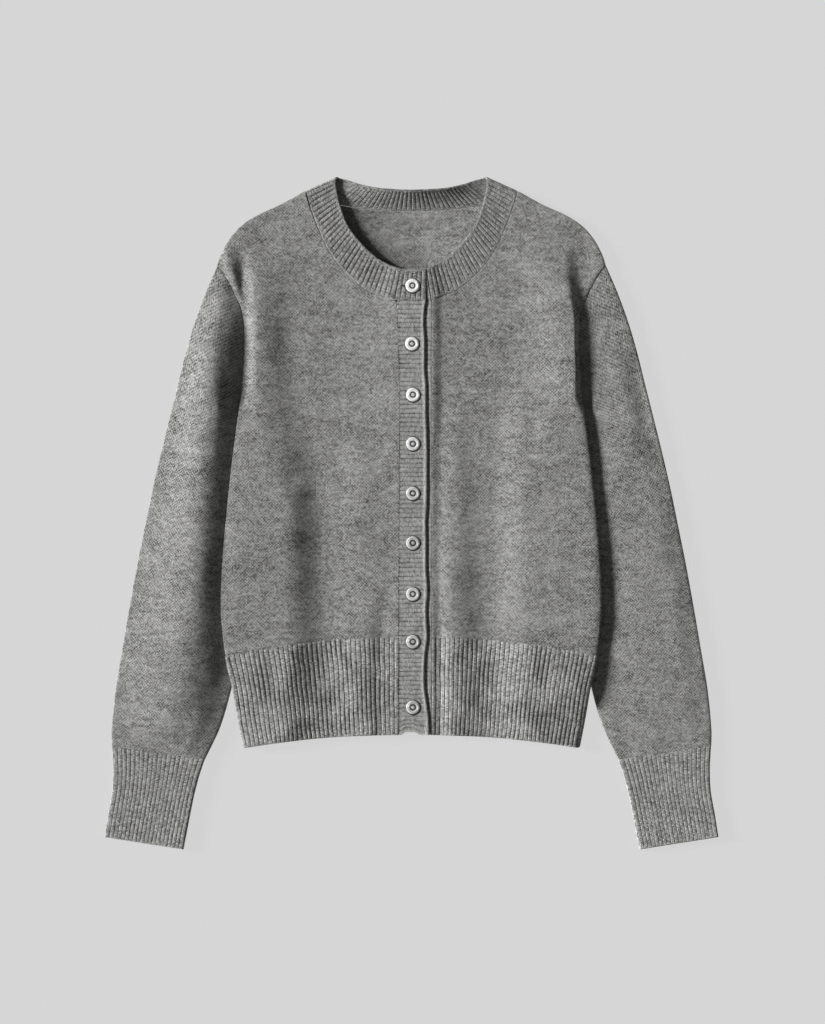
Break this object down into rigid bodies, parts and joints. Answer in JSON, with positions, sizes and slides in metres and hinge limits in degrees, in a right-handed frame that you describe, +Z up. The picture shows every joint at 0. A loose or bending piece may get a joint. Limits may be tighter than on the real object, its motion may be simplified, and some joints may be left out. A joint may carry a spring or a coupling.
{
  "type": "button cardigan laid flat",
  "caption": "Fine-knit long-sleeved cardigan with round neckband, ribbed hem, cuffs and button placket, laid flat and buttoned up.",
  "frame": {"origin": "centre of the bounding box in plan, on the surface that the garment lies on", "axes": "+Z up from that surface, +Y towards the neck, +X towards the wearer's left"},
  "size_m": [0.6262, 0.6864, 0.0185],
  "materials": {
    "jersey": "fine melange jersey, slightly fuzzy",
    "rib": "ribbed knit of the same yarn",
    "shell": "pearly grey, satin"
  },
  "bodies": {
    "root": {"back": "jersey", "front_right": "jersey", "front_left": "jersey", "sleeve_right": "jersey", "sleeve_left": "jersey", "cuff_right": "rib", "cuff_left": "rib", "hem_back": "rib", "hem_front_right": "rib", "hem_front_left": "rib", "neckband": "rib", "button_band": "rib", "buttonhole_band": "rib", "button_1": "shell", "button_2": "shell", "button_3": "shell", "button_4": "shell", "button_5": "shell", "button_6": "shell", "button_7": "shell", "button_8": "shell", "button_9": "shell"}
  },
  "joints": []
}
